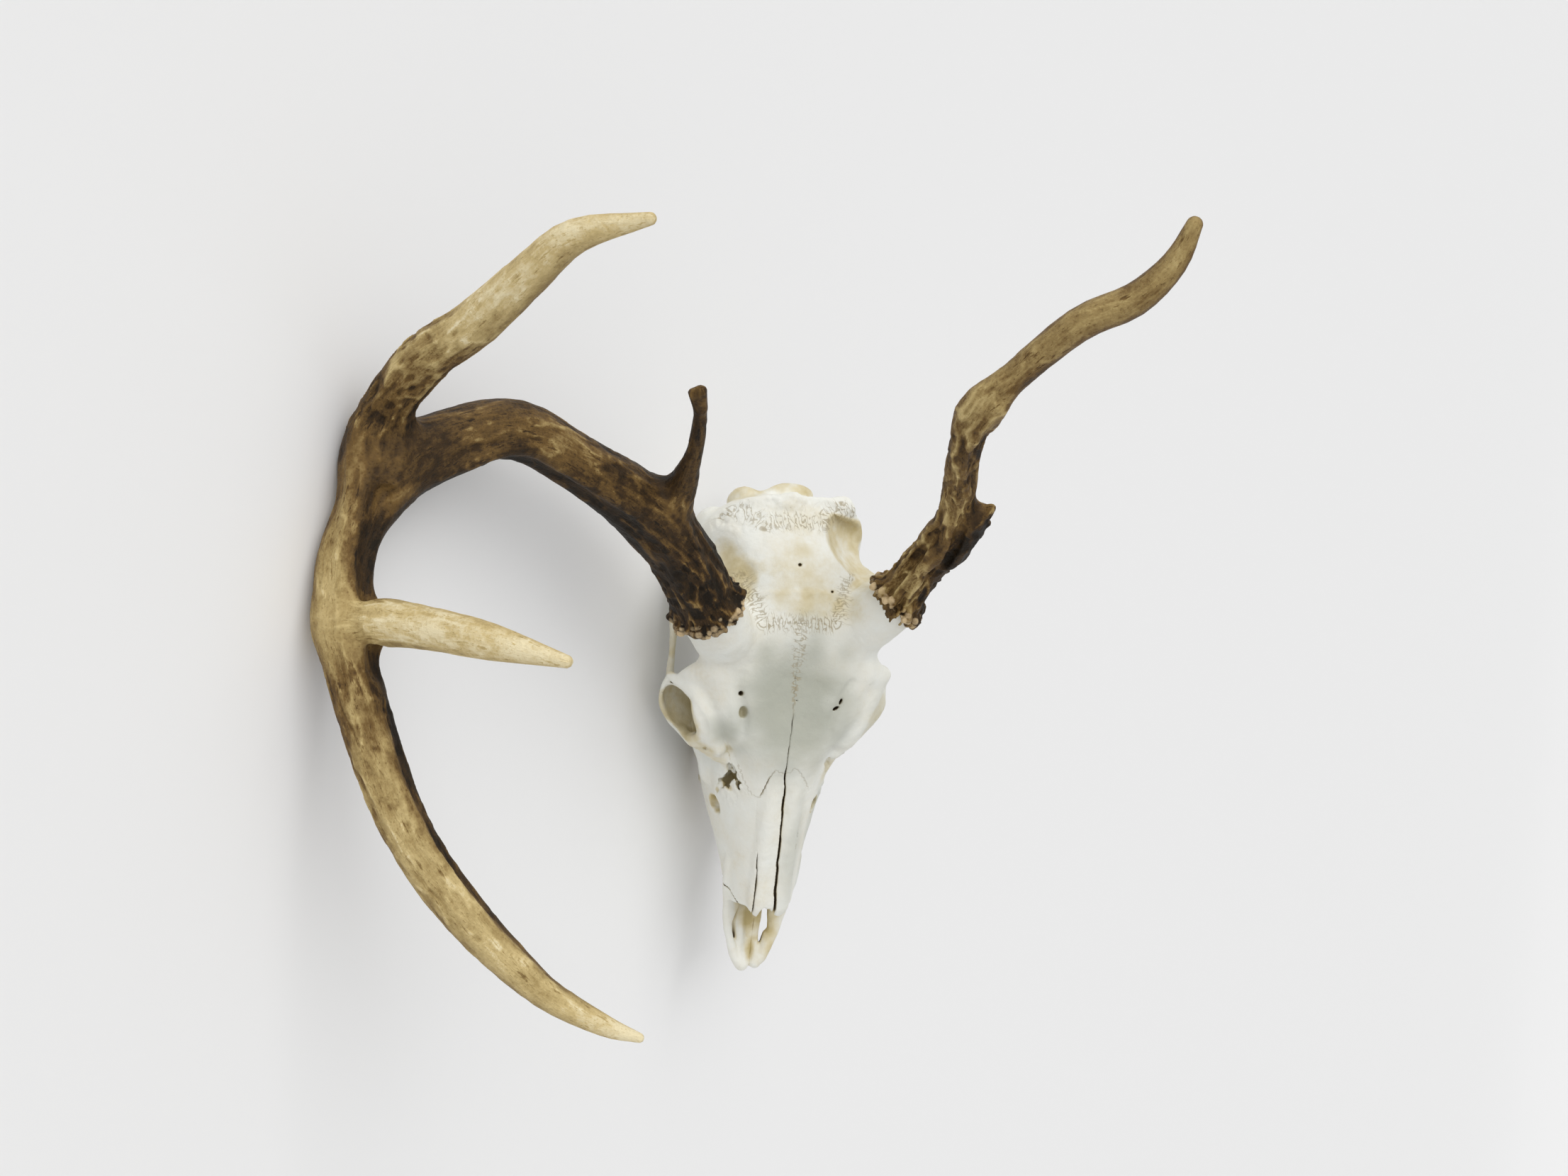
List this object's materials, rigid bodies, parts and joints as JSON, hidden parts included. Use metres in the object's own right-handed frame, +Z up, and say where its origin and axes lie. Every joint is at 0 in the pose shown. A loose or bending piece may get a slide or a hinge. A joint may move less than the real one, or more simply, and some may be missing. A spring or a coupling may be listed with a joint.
{
  "type": "deer skull with antlers",
  "caption": "Bleached white-tailed buck skull without the lower jaw, with a broad branched right antler and a thin kinked left one, lying tipped over on its right antler.",
  "frame": {"origin": "middle of the bounding box's footprint, on the floor that the skull lies on", "axes": "+Z up; the nose points to +X and the crown faces -Y, up from the floor by about 26 degrees; the left antler stands up and back, the right one lies toward -Y"},
  "size_m": [0.388, 0.4106, 0.3064],
  "materials": {
    "bone": "bleached bone, chalky matt white with cream and tan in its hollows and sutures",
    "antler_right": "dark brown antler, ridged and pearled near the burr, rubbed pale toward the tips",
    "antler_left": "grey-brown antler with deep gutters near the burr and a blunt tip"
  },
  "bodies": {
    "root": {"nasal_right": "bone", "nasal_left": "bone", "premaxilla_right": "bone", "premaxilla_left": "bone", "occiput": "bone", "braincase": "bone", "zygomatic_right": "bone", "zygomatic_left": "bone", "frontal_right": "bone", "frontal_left": "bone", "skull_base": "bone", "maxilla_right": "bone", "maxilla_left": "bone", "antler_right_base": "antler_right", "antler_right_brow_tine": "antler_right", "antler_right_beam": "antler_right", "antler_right_rear_tine": "antler_right", "antler_right_outer_beam": "antler_right", "antler_right_front_tine": "antler_right", "antler_right_beam_tip": "antler_right", "antler_left_base": "antler_left", "antler_left_brow_stub": "antler_left", "antler_left_beam": "antler_left", "antler_left_tip": "antler_left"}
  },
  "joints": []
}
